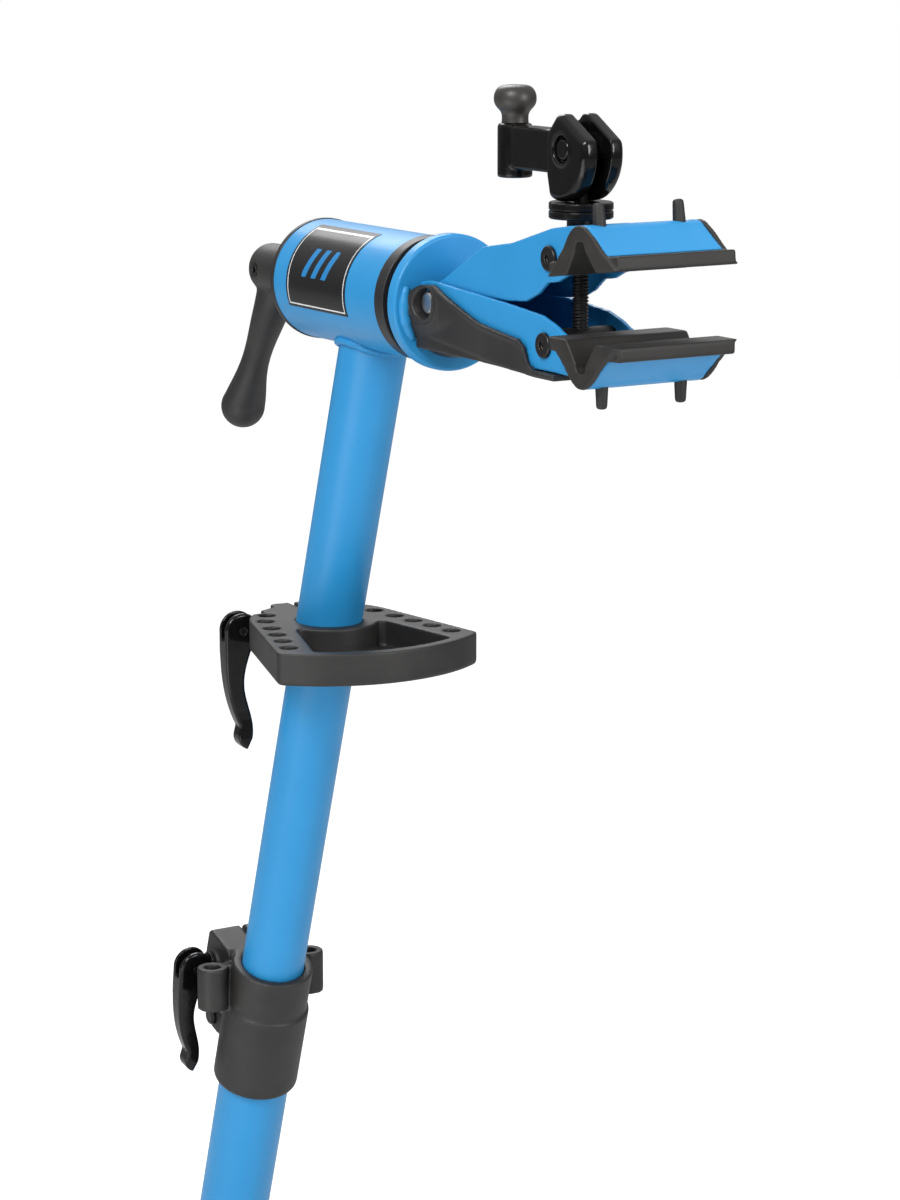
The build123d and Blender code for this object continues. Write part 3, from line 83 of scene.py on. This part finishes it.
class Finish:
    """A material being built: one short call for each kind of node."""

    def __init__(self, name):
        self.material = bpy.data.materials.new(name)
        self.material.use_nodes = True
        self.nodes = self.material.node_tree.nodes
        self.links = self.material.node_tree.links
        self.surface = self.nodes["Principled BSDF"]
        self.place = self.add("ShaderNodeTexCoord").outputs["Object"]
        self.normal = None

    def add(self, kind, **settings):
        """A new node of a kind, with its settings."""
        node = self.nodes.new(kind)
        for key, value in settings.items():
            setattr(node, key, value)
        return node

    def feed(self, socket, value):
        """Set a socket to a number or colour, or link it to another node's output."""
        if isinstance(value, bpy.types.NodeSocket):
            self.links.new(value, socket)
        elif isinstance(value, tuple) and len(value) == 3 and socket.type == "RGBA":
            socket.default_value = (*value, 1)
        else:
            socket.default_value = value

    def noise(self, size, detail=3.0, stretch=(1, 1, 1)):
        """Noise from 0 to 1 whose features are about `size` metres across."""
        mapping = self.add("ShaderNodeMapping")
        self.feed(mapping.inputs["Vector"], self.place)
        self.feed(mapping.inputs["Scale"], stretch)
        texture = self.add("ShaderNodeTexNoise")
        self.feed(texture.inputs["Vector"], mapping.outputs["Vector"])
        self.feed(texture.inputs["Scale"], 1 / size)
        self.feed(texture.inputs["Detail"], detail)
        return texture.outputs["Fac"]

    def span(self, source, low, high, start=0.0, end=1.0):
        """Map a value from start..end to low..high, held at the limits."""
        node = self.add("ShaderNodeMapRange")
        self.feed(node.inputs["Value"], source)
        self.feed(node.inputs["From Min"], start)
        self.feed(node.inputs["From Max"], end)
        self.feed(node.inputs["To Min"], low)
        self.feed(node.inputs["To Max"], high)
        return node.outputs["Result"]

    def math(self, operation, first, second=0.0):
        """Arithmetic on two values."""
        node = self.add("ShaderNodeMath", operation=operation)
        self.feed(node.inputs[0], first)
        self.feed(node.inputs[1], second)
        return node.outputs["Value"]

    def blend(self, share, first, second):
        """Mix two colours."""
        node = self.add("ShaderNodeMix", data_type="RGBA")
        self.feed(node.inputs["Factor"], share)
        self.feed(node.inputs["A"], first)
        self.feed(node.inputs["B"], second)
        return node.outputs["Result"]

    def round_edges(self, radius):
        """Soften the shading over sharp edges, and return a mask that is 1 on them."""
        bevel = self.add("ShaderNodeBevel", samples=6)
        self.feed(bevel.inputs["Radius"], radius)
        self.normal = bevel.outputs["Normal"]
        sharp = self.add("ShaderNodeNewGeometry").outputs["Normal"]
        product = self.add("ShaderNodeVectorMath", operation="DOT_PRODUCT")
        self.feed(product.inputs[0], self.normal)
        self.feed(product.inputs[1], sharp)
        return self.span(product.outputs["Value"], 1.0, 0.0, 0.75, 0.99)

    def bump(self, height, depth):
        """Raise the surface by up to `depth` where `height` is 1."""
        node = self.add("ShaderNodeBump")
        self.feed(node.inputs["Height"], height)
        self.feed(node.inputs["Distance"], depth)
        self.feed(node.inputs["Strength"], 1.0)
        if self.normal is not None:
            self.feed(node.inputs["Normal"], self.normal)
        self.normal = node.outputs["Normal"]

    def done(self, colour, roughness, metal=0.0, coat=0.0, gloss=0.5):
        """Connect the surface and hand the material back."""
        self.feed(self.surface.inputs["Base Color"], colour)
        self.feed(self.surface.inputs["Roughness"], roughness)
        self.feed(self.surface.inputs["Metallic"], metal)
        self.feed(self.surface.inputs["Coat Weight"], coat)
        self.feed(self.surface.inputs["Coat Roughness"], 0.12)
        self.feed(self.surface.inputs["Specular IOR Level"], gloss)
        self.feed(self.surface.inputs["Normal"], self.normal)
        return self.material


def powder_coat():
    """Satin blue powder coat: fine orange peel, slight mottling, scuffed edges."""
    finish = Finish("blue_powder_coat")
    wear = finish.round_edges(0.9 * MM)
    mottle = finish.noise(45 * MM, 2)
    base = finish.blend(mottle, (0.016, 0.225, 0.50), (0.024, 0.255, 0.55))
    scuff = finish.math("MULTIPLY", wear, finish.span(finish.noise(6 * MM), 0, 0.35, 0.45, 0.7))
    finish.bump(finish.noise(1.3 * MM, 2), 0.035 * MM)
    finish.bump(finish.noise(0.35 * MM, 1), 0.01 * MM)
    roughness = finish.span(finish.noise(18 * MM), 0.34, 0.43, 0.3, 0.7)
    return finish.done(finish.blend(scuff, base, (0.09, 0.36, 0.66)), roughness, coat=0.05, gloss=0.35)


def moulded_plastic(name, low, high, roughness, grain):
    """Moulded black plastic: spark-eroded grain, fine bright flecks of painted glint, a dusty bloom, polished
    edges.
    """
    finish = Finish(name)
    wear = finish.round_edges(0.7 * MM)
    bloom = finish.span(finish.noise(30 * MM, 4), 0, 1, 0.35, 0.7)
    base = finish.blend(bloom, low, high)
    # Fine bright flecks are painted glints: fine noise lightens the colour toward a brighter black.
    painted_glint_mask = finish.span(finish.noise(0.5 * MM, 2), 0.0, 0.35, 0.55, 0.75)
    base_with_painted_glints = finish.blend(painted_glint_mask, base, tuple(1.8 * part for part in high))
    finish.bump(finish.noise(grain, 2), 0.055 * MM)
    finish.bump(finish.noise(9 * MM, 1), 0.05 * MM)
    rough = finish.math("SUBTRACT", roughness, finish.math("MULTIPLY", wear, 0.14))
    return finish.done(finish.blend(wear, base_with_painted_glints, tuple(1.5 * part for part in high)), rough)


def black_rubber():
    """Dark grey rubber: fine pebble, faint scuffs and a chalky bloom on the edges."""
    finish = Finish("black_rubber")
    wear = finish.round_edges(0.8 * MM)
    smear = finish.span(finish.noise(14 * MM, 5, (1, 0.3, 1)), 0, 1, 0.4, 0.75)
    base = finish.blend(smear, (0.012, 0.011, 0.010), (0.021, 0.019, 0.018))
    finish.bump(finish.noise(0.6 * MM, 2), 0.05 * MM)
    finish.bump(finish.noise(5 * MM, 2), 0.06 * MM)
    return finish.done(finish.blend(wear, base, (0.045, 0.042, 0.040)), finish.span(smear, 0.55, 0.72))


def gloss_black():
    """Gloss black paint on a casting: soft waviness under a hard clear surface."""
    finish = Finish("gloss_black_paint")
    wear = finish.round_edges(0.8 * MM)
    finish.bump(finish.noise(6 * MM, 2), 0.09 * MM)
    finish.bump(finish.noise(1.5 * MM, 1), 0.006 * MM)
    dust = finish.span(finish.noise(7 * MM, 5), 0, 0.5, 0.5, 0.8)
    base = finish.blend(dust, (0.003, 0.003, 0.003), (0.008, 0.008, 0.008))
    roughness = finish.span(finish.noise(12 * MM, 4), 0.10, 0.20, 0.35, 0.7)
    return finish.done(finish.blend(wear, base, (0.012, 0.012, 0.012)), roughness, coat=0.06, gloss=0.3)


def black_oxide():
    """Oiled black oxide on steel, browner where it is thin."""
    finish = Finish("black_oxide_steel")
    wear = finish.round_edges(0.35 * MM)
    patch = finish.noise(3 * MM, 4)
    base = finish.blend(patch, (0.018, 0.018, 0.020), (0.040, 0.036, 0.034))
    finish.bump(finish.noise(0.4 * MM, 2), 0.012 * MM)
    tint = finish.blend(finish.math("MULTIPLY", wear, 0.6), base, (0.22, 0.21, 0.20))
    return finish.done(tint, finish.span(patch, 0.26, 0.42), metal=0.75)


def zinc_steel():
    """Bright zinc-plated steel with fine turning marks."""
    finish = Finish("zinc_plated_steel")
    wear = finish.round_edges(0.4 * MM)
    cloud = finish.noise(4 * MM, 4)
    base = finish.blend(cloud, (0.52, 0.53, 0.55), (0.66, 0.67, 0.68))
    finish.bump(finish.noise(0.25 * MM, 2, (1, 1, 6)), 0.008 * MM)
    tint = finish.blend(wear, base, (0.80, 0.80, 0.80))
    return finish.done(tint, finish.span(cloud, 0.22, 0.38), metal=1.0)


def label_print():
    """Black label film with a plain printed border and three slanted bars."""
    finish = Finish("label_film")
    finish.round_edges(0.2 * MM)
    low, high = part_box("head_label")
    parts = finish.add("ShaderNodeSeparateXYZ")
    finish.feed(parts.inputs[0], finish.place)
    along, up = parts.outputs["X"], parts.outputs["Z"]
    middle = (low + high) / 2
    # A printed line runs a little inside the label's four sides.
    across = finish.math("ABSOLUTE", finish.math("SUBTRACT", along, middle.x))
    rise = finish.math("ABSOLUTE", finish.math("SUBTRACT", up, middle.z))
    half_x, half_z = (high.x - low.x) / 2, (high.z - low.z) / 2
    inset, foreshortened, line = 2.6 * MM, 0.8, 0.45 * MM
    gap_x = finish.math("SUBTRACT", half_x - inset, across)
    gap_z = finish.math("SUBTRACT", half_z - inset * foreshortened, rise)
    gap = finish.math("ABSOLUTE", finish.math("MINIMUM", gap_x, gap_z))
    border = finish.math("LESS_THAN", gap, line)
    # Three slanted bars fill the middle of the upper half.
    lean, half_pitch, half_gap = 0.45, 6.5 * MM, 3.4 * MM
    bars_half_x, bars_half_z, bars_above_axis = 19 * MM, 9 * MM, 16 * MM
    slant = finish.math("SUBTRACT", along, finish.math("MULTIPLY", up, lean))
    stripe = finish.math("PINGPONG", slant, half_pitch)
    bar = finish.math("GREATER_THAN", stripe, half_gap)
    inside_x = finish.math("LESS_THAN", across, bars_half_x)
    band = finish.math("SUBTRACT", up, HEAD.z + bars_above_axis)
    inside_z = finish.math("LESS_THAN", finish.math("ABSOLUTE", band), bars_half_z)
    bars = finish.math("MULTIPLY", finish.math("MULTIPLY", bar, inside_x), inside_z)
    wash = finish.span(finish.noise(10 * MM, 3), 0.85, 1.0)
    film = finish.blend(finish.noise(20 * MM), (0.004, 0.004, 0.005), (0.008, 0.008, 0.009))
    printed = finish.blend(finish.math("MULTIPLY", bars, wash), film, (0.014, 0.20, 0.48))
    finish.bump(finish.noise(2 * MM, 2), 0.01 * MM)
    colour = finish.blend(finish.math("MULTIPLY", border, wash), printed, (0.72, 0.74, 0.76))
    return finish.done(colour, finish.span(finish.noise(15 * MM), 0.28, 0.4), coat=0.08, gloss=0.3)


FINISHES = {
    "blue_powder_coat": powder_coat(),
    "gloss_black_paint": gloss_black(),
    "black_oxide_steel": black_oxide(),
    "zinc_plated_steel": zinc_steel(),
    "black_rubber": black_rubber(),
    "matte_black_plastic": moulded_plastic(
        "matte_black_plastic", (0.011, 0.010, 0.010), (0.019, 0.018, 0.017), 0.52, 0.55 * MM),
    "grey_black_plastic": moulded_plastic(
        "grey_black_plastic", (0.022, 0.020, 0.018), (0.032, 0.029, 0.027), 0.42, 0.9 * MM),
    "bearing_plastic": moulded_plastic(
        "bearing_plastic", (0.008, 0.008, 0.009), (0.012, 0.012, 0.013), 0.45, 0.8 * MM),
    "label_film": label_print(),
}


# ---------------------------------------------------------------- making pieces


def finish_piece(piece, body, slot):
    """Give a new piece its material, and make it ride on a body."""
    piece.data.materials.clear()
    piece.data.materials.append(FINISHES[slot])
    for polygon in piece.data.polygons:
        polygon.use_smooth = True
    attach(piece, body)
    return piece


def new_piece(name, points, faces, body, slot):
    """A piece from plain lists of points and faces."""
    mesh = bpy.data.meshes.new(name)
    mesh.from_pydata([tuple(point) for point in points], [], faces)
    mesh.validate()
    clean = bmesh.new()
    clean.from_mesh(mesh)
    bmesh.ops.recalc_face_normals(clean, faces=clean.faces)
    clean.to_mesh(mesh)
    clean.free()
    piece = bpy.data.objects.new(name, mesh)
    bpy.context.scene.collection.objects.link(piece)
    return finish_piece(piece, body, slot)


def read_points(mesh):
    """A mesh's vertices as rows of x, y, z."""
    points = np.empty(len(mesh.vertices) * 3)
    mesh.vertices.foreach_get("co", points)
    return points.reshape(-1, 3)


def soften(node, voxel, passes, sculpt=None):
    """Replace a CAD node by a copy with rounded edges, as a casting or a moulding has.

    The copy is remeshed at `voxel`, smoothed, and moved by `sculpt`, which returns new points."""
    piece = bpy.data.objects.new(f"{node}_form", nodes[node].data.copy())
    bpy.context.scene.collection.objects.link(piece)
    remesh = piece.modifiers.new("remesh", "REMESH")
    remesh.mode = "VOXEL"
    remesh.voxel_size = voxel
    smooth = piece.modifiers.new("smooth", "SMOOTH")
    smooth.factor = 0.5
    smooth.iterations = passes
    graph = bpy.context.evaluated_depsgraph_get()
    mesh = bpy.data.meshes.new_from_object(piece.evaluated_get(graph))
    piece.modifiers.clear()
    piece.data = mesh
    if sculpt:
        mesh.vertices.foreach_set("co", sculpt(read_points(mesh)).ravel())
    finish_piece(piece, body_of[node], slot_of[node])
    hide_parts(node)
    return piece


def ring(centre, normal, start, radius, sides):
    """Points of a circle, counted from the direction `start`."""
    side = normal.cross(start)
    return [centre + (start * cos(2 * pi * k / sides) + side * sin(2 * pi * k / sides)) * radius
            for k in range(sides)]


def band_faces(near, far, sides):
    """The faces between two closed rows of `sides` points that start at `near` and `far`."""
    return [(near + side, near + (side + 1) % sides, far + (side + 1) % sides, far + side)
            for side in range(sides)]


def sweep(name, path, radius, body, slot, closed=False):
    """A bead along a path; radius(k) gives its size at each point."""
    tilted = Vector((0.3, 0.2, 1))          # never parallel to a bead's path
    points, faces = [], []
    count = len(path)
    for k, here in enumerate(path):
        before = path[k - 1] if closed or k else here
        after = path[(k + 1) % count] if closed or k < count - 1 else here
        along = (after - before).normalized()
        start = along.cross(tilted).normalized()
        points += ring(here, along, start, radius(k), BEAD_SIDES)
    for k in range(count if closed else count - 1):
        faces += band_faces(k * BEAD_SIDES, (k + 1) % count * BEAD_SIDES, BEAD_SIDES)
    if not closed:
        faces.append(tuple(range(BEAD_SIDES)))
        faces.append(tuple(range(len(points) - BEAD_SIDES, len(points))))
    return new_piece(name, points, faces, body, slot)


# ---------------------------------------------------------------- welds


def bead_radius(size, pitch, ripple=0.05):
    """A weld's size along its length: a ripple every `pitch` points and a slow drift."""
    drift, drift_rate = 0.04, 0.37
    return lambda k: size * (1 + ripple * sin(2 * pi * k / pitch) + drift * sin(drift_rate * k))


def head_weld():
    """The bead that follows the saddle where the mast meets the head tube."""
    steps, proud, bead = 240, 0.6 * MM, 2.9 * MM
    path = []
    for k in range(steps):
        angle = 2 * pi * k / steps
        out = (MAST_FORWARD * cos(angle) + SIDEWAYS * sin(angle)) * (MAST_R + proud)
        drop = (out.z + sqrt((HEAD_R + proud) ** 2 - out.y ** 2)) / MAST_UP.z
        path.append(HEAD + out - MAST_UP * drop)
    sweep("head_weld", path, bead_radius(bead, 4), "upper_section", "blue_powder_coat", closed=True)


def disk_welds():
    """Two short fillet welds on the disk's face, outside the lower arm's cheeks."""
    sunk_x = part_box("clamp_disk")[1].x - 0.6 * MM
    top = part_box("lower_arm")[0].z + 38 * MM
    radius, steps, step = 35.5 * MM, 60, 0.55 * MM
    bead = bead_radius(4.0 * MM, 12, 0.015)

    def tapered(k):
        """The bead's size, drawn out thin at both ends."""
        return bead(k) * sin(pi * (k + 3) / (steps + 5)) ** 0.4

    for side, hand in ((-1, "right"), (1, "left")):
        path = []
        for k in range(steps):
            up = top - k * step
            path.append(Vector((sunk_x, side * sqrt(radius ** 2 - (up - HEAD.z) ** 2), up)))
        sweep(f"disk_weld_{hand}", path, tapered, "clamp", "blue_powder_coat")


head_weld()
disk_welds()

# ---------------------------------------------------------------- clamping rod


ROD_SIDES = 48
TURN_STEPS = 8                  # rows of points to one turn of thread


def thread_radius(level, levels, side, major, depth):
    """The rod's radius at a row up its thread and a place round it."""
    phase = (level / TURN_STEPS - side / ROD_SIDES) % 1
    # A flat crest and a flat root, with straight flanks between them.
    flank = min(1.0, max(0.0, abs(phase - 0.5) * 2.4 - 0.15))
    runout = min(1.0, level / 6, (levels - level) / 6)
    tip = (1 - min(1.0, level / 4)) * 0.8 * MM
    return major - depth * (flank * runout) - tip


def threaded_shank():
    """The clamping rod's helical thread and the plain neck above it."""
    low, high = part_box("threaded_rod")
    axis = Vector(((low.x + high.x) / 2, (low.y + high.y) / 2, 0))
    pitch, depth, major = 2 * MM, 1.1 * MM, 5 * MM
    neck_r, neck_from, neck_to = 4 * MM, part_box("upper_washer")[1].z, CAM_PIN.z - 6 * MM
    step = pitch / TURN_STEPS
    levels = int((neck_from - low.z) / step)
    rows = [(low.z + level * step, level) for level in range(levels + 1)]
    rows += [(neck_from, None), (neck_to, None)]
    points, faces = [], []
    for up, level in rows:
        for side in range(ROD_SIDES):
            angle = 2 * pi * side / ROD_SIDES
            radius = neck_r if level is None else thread_radius(level, levels, side, major, depth)
            points.append(axis + Vector((radius * cos(angle), radius * sin(angle), up)))
    for row in range(len(rows) - 1):
        faces += band_faces(row * ROD_SIDES, (row + 1) * ROD_SIDES, ROD_SIDES)
    faces.append(tuple(range(ROD_SIDES)))
    faces.append(tuple(range(len(points) - ROD_SIDES, len(points))))
    rod = new_piece("rod_thread", points, faces, "rod", "black_oxide_steel")
    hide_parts("threaded_rod")


def rod_eye():
    """The rod's eye: a short ring about the cam's pin, with its rims broken."""
    low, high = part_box("threaded_rod")
    outer, inner, half, rim = (high.x - low.x) / 2, 4 * MM, 4 * MM, 0.8 * MM
    profile = ((inner, -half), (outer - rim, -half), (outer, -half + rim),
               (outer, half - rim), (outer - rim, half), (inner, half))
    points, faces = [], []
    for side in range(ROD_SIDES):
        angle = 2 * pi * side / ROD_SIDES
        points += [CAM_PIN + Vector((radius * cos(angle), across, radius * sin(angle)))
                   for radius, across in profile]
        faces += band_faces(side * len(profile), (side + 1) % ROD_SIDES * len(profile), len(profile))
    new_piece("rod_eye", points, faces, "rod", "black_oxide_steel")


threaded_shank()
rod_eye()

# ---------------------------------------------------------------- castings and mouldings


def bump_at(distance, centre, width):
    """A smooth ridge, 1 at `centre` and fading over `width`."""
    return np.exp(-((distance - centre) / width) ** 2)


def sculpt_guard(points):
    """Raise the guard's rim, the rings round the pivot bolt and two short ribs; press a long crease."""
    flank_from, fade, column = 22 * MM, 3 * MM, 2 * MM
    inner_ring, outer_ring = 10.3 * MM, 13.2 * MM
    crease_below, crease_fall = 22 * MM, 0.10
    moved = points.copy()
    ahead, above = points[:, 0] - JAW_PIVOT.x, points[:, 2] - JAW_PIVOT.z
    flank = np.sign(points[:, 1]) * np.clip((np.abs(points[:, 1]) - flank_from) / fade, 0, 1)
    # The top edge's height, column by column along the guard.
    tops = {}
    for key, up in zip(np.floor(points[:, 0] / column).astype(int), points[:, 2]):
        tops[key] = max(tops.get(key, -1.0), up)
    keys = sorted(tops)
    top = np.interp(points[:, 0] / column - 0.5, keys, [tops[key] for key in keys])
    from_bolt = np.hypot(ahead, above)
    away = np.clip((from_bolt - 13 * MM) / fade, 0, 1)
    rim = bump_at(top - points[:, 2], 1.6 * MM, 1.3 * MM) * away
    rings = bump_at(from_bolt, inner_ring, 0.7 * MM) + 0.8 * bump_at(from_bolt, outer_ring, 0.8 * MM)
    beside = np.abs(above + 3 * MM) < 7 * MM
    ribs = bump_at(np.abs(ahead - 1 * MM), 13.5 * MM, 0.8 * MM) * beside
    crease = bump_at(above + crease_below + crease_fall * ahead, 0, 1.6 * MM)
    crease *= np.clip((ahead + 2 * MM) / (6 * MM), 0, 1)
    moved[:, 1] += flank * (0.8 * rim + 0.7 * rings + 0.6 * ribs - 0.9 * crease) * MM
    return moved


def sculpt_cam(points):
    """Sink a round recess about the cam pin in each ear's outer face, with a low rim round it."""
    recess_r, recess_edge, recess_deep = 7.2 * MM, 0.5 * MM, 1.6 * MM
    rim_r, rim_wide, rim_high = 8.8 * MM, 1.1 * MM, 0.7 * MM
    moved = points.copy()
    aside = points[:, 1] - CAM_PIN.y
    from_pin = np.hypot(points[:, 0] - CAM_PIN.x, points[:, 2] - CAM_PIN.z)
    face = np.sign(aside) * np.clip((np.abs(aside) - 9 * MM) / (3 * MM), 0, 1)
    recess = 1 / (1 + np.exp((from_pin - recess_r) / recess_edge))
    moved[:, 1] += face * (rim_high * bump_at(from_pin, rim_r, rim_wide) - recess_deep * recess)
    return moved


def sculpt_pad(points):
    """Broaden the rounded crown of each end flange, outside and in the groove."""
    flange_from, spread = 38.7 * MM, 1.7 * MM
    shoulder, shoulder_wide, crown_half = 6 * MM, 4.5 * MM, 2.5 * MM
    moved = points.copy()
    ends = np.abs(points[:, 1] - HEAD.y) > flange_from
    flange = points[ends]
    # The crown is the end of the V farthest from the other jaw, above or below the gap.
    upward = 1 if flange[:, 2].mean() > HEAD.z else -1
    drop = (flange[:, 2] * upward).max() - flange[:, 2] * upward
    crown = flange[drop < 2 * MM, 0].mean()
    side = np.tanh((flange[:, 0] - crown) / crown_half)
    moved[ends, 0] += side * spread * bump_at(drop, shoulder, shoulder_wide)
    return moved


def sculpt_lever(joint_name):
    """Pinch a quick-release lever's width along its arm and flare it again at the tip."""
    pin = Vector(joints[joint_name]["pos_m"])
    across = Vector(joints[joint_name]["axis"])
    up = SIDEWAYS.cross(across).normalized()

    def sculpt(points):
        from_pin = points - np.array(pin)
        down = -from_pin @ np.array(up)
        side = from_pin @ np.array(across)
        pinch = np.clip((down - 12 * MM) / (45 * MM), 0, 1)
        flare = np.clip((down - 62 * MM) / (14 * MM), 0, 1)
        share = -0.26 * pinch + 0.16 * flare
        return points + np.outer(side * share, np.array(across))

    return sculpt


soften("upper_arm", 0.9 * MM, 5)
soften("lower_arm", 0.9 * MM, 5)
soften("arm_guard", 0.8 * MM, 6, sculpt_guard)
soften("upper_pad", 0.8 * MM, 6, sculpt_pad)
soften("lower_pad", 0.8 * MM, 6, sculpt_pad)
soften("cam_lever", 0.7 * MM, 14, sculpt_cam)
soften("tension_handle", 1.0 * MM, 16)
soften("tool_tray", 1.0 * MM, 3)
soften("height_collar", 1.0 * MM, 9)
soften("tray_lever", 0.6 * MM, 5, sculpt_lever("tray_lever_flip"))
soften("collar_lever", 0.6 * MM, 5, sculpt_lever("collar_lever_flip"))
soften("leg_hub", 1.2 * MM, 5)
for boot in ("rear_foot", "left_foot", "right_foot"):
    soften(boot, 1.4 * MM, 4)

for name, node in nodes.items():
    node.data.materials.clear()
    node.data.materials.append(FINISHES[slot_of[name]])

# ---------------------------------------------------------------- floor, light and camera


def make_floor():
    """A round pale floor, wide enough to fill the view past the stand."""
    finish = Finish("floor_paper")
    finish.bump(finish.noise(3 * MM, 3), 0.02 * MM)
    cloud = finish.noise(0.8, 2)
    paper = finish.done(finish.blend(cloud, (0.62, 0.62, 0.62), (0.66, 0.66, 0.66)), 0.75)
    # The paper looks white to the camera without flooding the stand with light from below.
    seen = finish.add("ShaderNodeLightPath").outputs["Is Camera Ray"]
    finish.feed(finish.surface.inputs["Emission Color"], (1.0, 1.0, 1.0))
    finish.feed(finish.surface.inputs["Emission Strength"], finish.math("MULTIPLY", seen, 0.65))
    below_head, up, ahead = HEAD * Vector((1, 1, 0)), Vector((0, 0, 1)), Vector((1, 0, 0))
    points = ring(below_head, up, ahead, 9.0, 96)
    mesh = bpy.data.meshes.new("floor")
    mesh.from_pydata([tuple(point) for point in points], [], [tuple(range(len(points)))])
    floor = bpy.data.objects.new("floor", mesh)
    mesh.materials.append(paper)
    bpy.context.scene.collection.objects.link(floor)


def aim(item, target):
    """Point a lamp or camera's own -Z at a place."""
    item.rotation_euler = (target - item.location).to_track_quat("-Z", "Y").to_euler()


def add_light(name, offset, size, power, target=HEAD):
    """A square soft box at an offset from the head."""
    lamp = bpy.data.lights.new(name, "AREA")
    lamp.size = size
    lamp.energy = power
    item = bpy.data.objects.new(name, lamp)
    item.location = HEAD + Vector(offset)
    bpy.context.scene.collection.objects.link(item)
    aim(item, target)


def make_camera():
    """The camera: the photograph's direction, height and perspective."""
    lens = bpy.data.cameras.new("camera")
    lens.sensor_width = 36
    lens.lens = 96.86
    lens.clip_end = 50
    camera = bpy.data.objects.new("camera", lens)
    camera.location = CAMERA
    camera.rotation_euler = VIEW.to_track_quat("-Z", "Y").to_euler()
    bpy.context.scene.collection.objects.link(camera)
    bpy.context.scene.camera = camera


def make_world():
    """Soft light from above that fades to dark below; the camera itself sees it as white."""
    world = bpy.data.worlds.new("studio")
    world.use_nodes = True
    tree = world.node_tree
    background = tree.nodes["Background"]
    background.inputs["Color"].default_value = (1, 1, 1, 1)
    seen = tree.nodes.new("ShaderNodeLightPath").outputs["Is Camera Ray"]
    height = tree.nodes.new("ShaderNodeSeparateXYZ")
    tree.links.new(tree.nodes.new("ShaderNodeTexCoord").outputs["Generated"], height.inputs[0])
    sky = tree.nodes.new("ShaderNodeMapRange")
    tree.links.new(height.outputs["Z"], sky.inputs["Value"])
    sky.inputs["From Min"].default_value = -0.2
    sky.inputs["From Max"].default_value = 0.9
    sky.inputs["To Min"].default_value = 0.10
    sky.inputs["To Max"].default_value = 0.75
    strength = tree.nodes.new("ShaderNodeMapRange")
    tree.links.new(seen, strength.inputs["Value"])
    tree.links.new(sky.outputs["Result"], strength.inputs["To Min"])
    strength.inputs["To Max"].default_value = 1.0
    tree.links.new(strength.outputs["Result"], background.inputs["Strength"])
    bpy.context.scene.world = world


make_floor()
add_light("key", (1.6, -2.4, 2.2), 1.3, 105)
add_light("fill", (2.6, 0.8, 0.6), 0.9, 34)
add_light("rim", (-1.8, 0.6, 1.8), 1.4, 45)
add_light("low", (0.6, -1.8, -0.9), 1.4, 14, HEAD - MAST_UP * 0.4)
make_camera()
make_world()
bpy.context.scene.view_settings.view_transform = "Standard"
